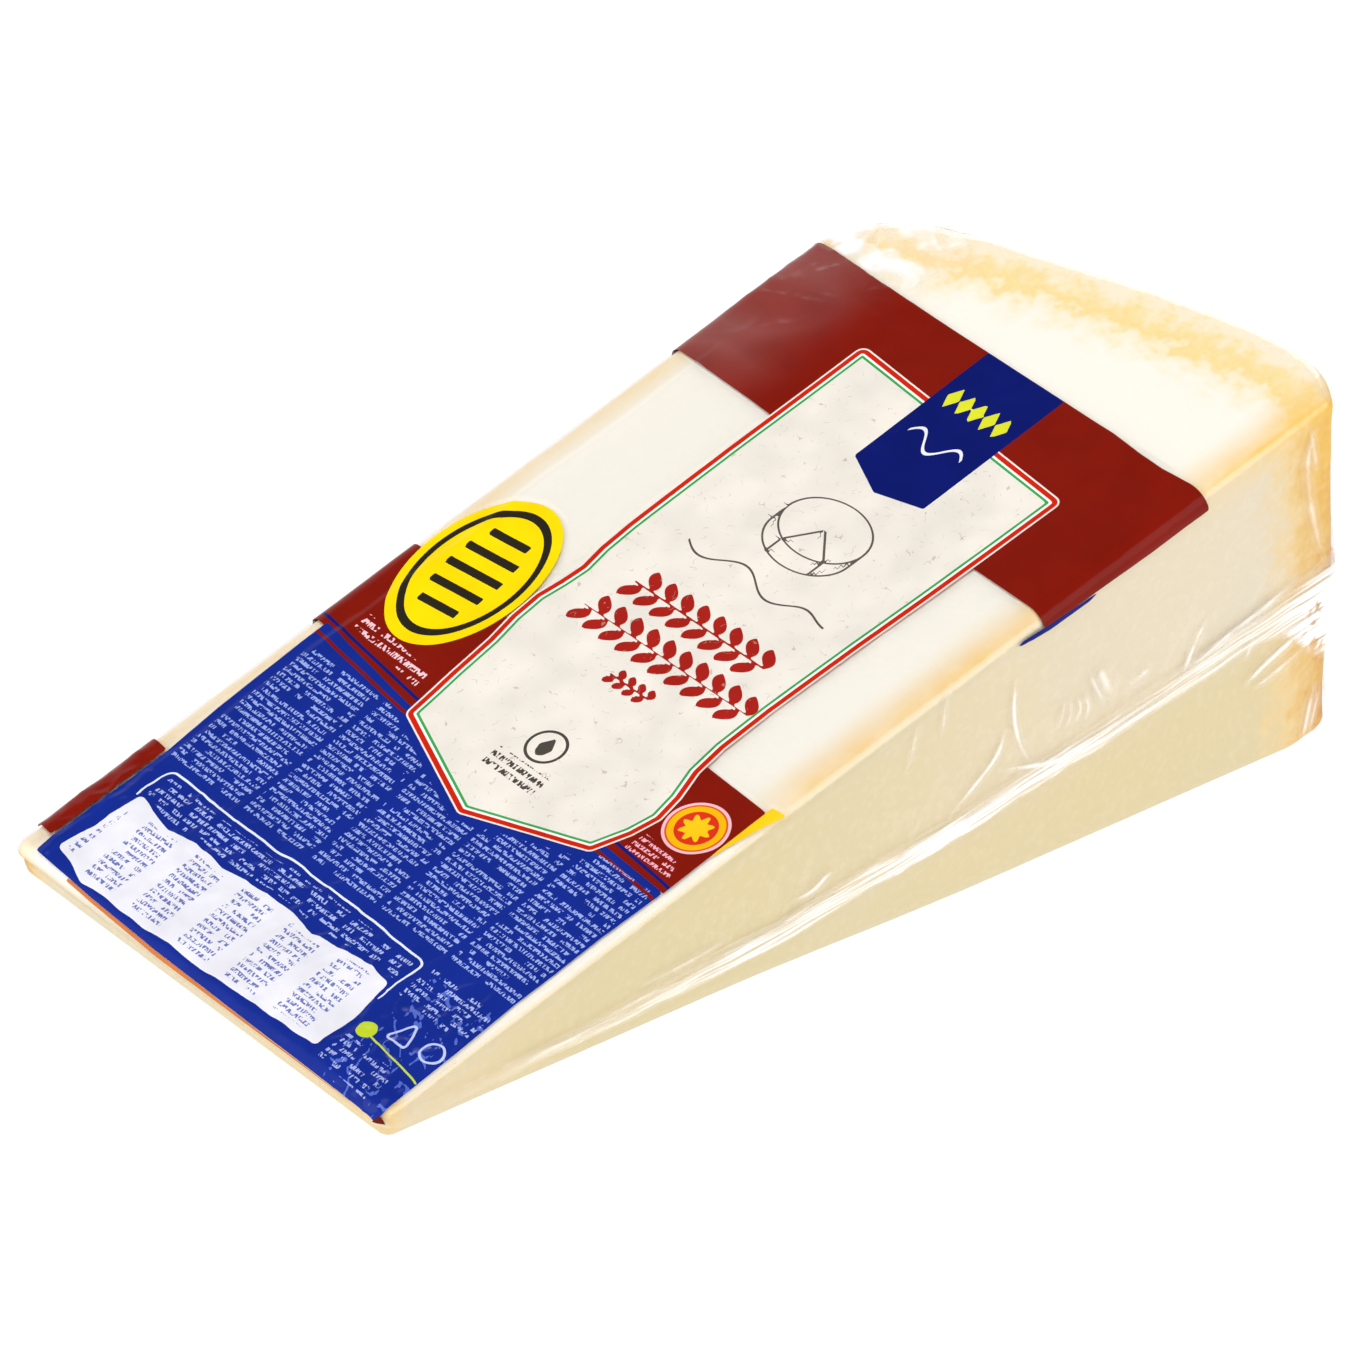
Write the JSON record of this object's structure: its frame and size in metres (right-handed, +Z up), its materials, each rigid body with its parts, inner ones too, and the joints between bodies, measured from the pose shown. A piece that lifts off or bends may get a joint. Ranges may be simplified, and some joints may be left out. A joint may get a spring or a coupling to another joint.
{
  "type": "vacuum-packed hard cheese wedge",
  "caption": "Wedge of pale hard cheese cut from half a wheel, sealed tight in clear film with a printed top web; lies on one cut face.",
  "frame": {"origin": "under the middle of the pack's box, on the cut face that it lies on", "axes": "+Z up; +X from the blunt tip to the rind; +Y from the halving cut to the wheel's flat rind face"},
  "size_m": [0.2034, 0.0928, 0.0678],
  "materials": {
    "cheese": "pale straw cheese, fine grained, with a golden rind at the wide end",
    "clear_film": "clear glossy vacuum film, creased and milky along its folded seam",
    "printed_film": "glossy film printed in brick red, deep blue and a cream panel, with clear windows"
  },
  "bodies": {
    "root": {"vacuum_pack": "cheese", "printed_film": "printed_film"}
  },
  "joints": []
}
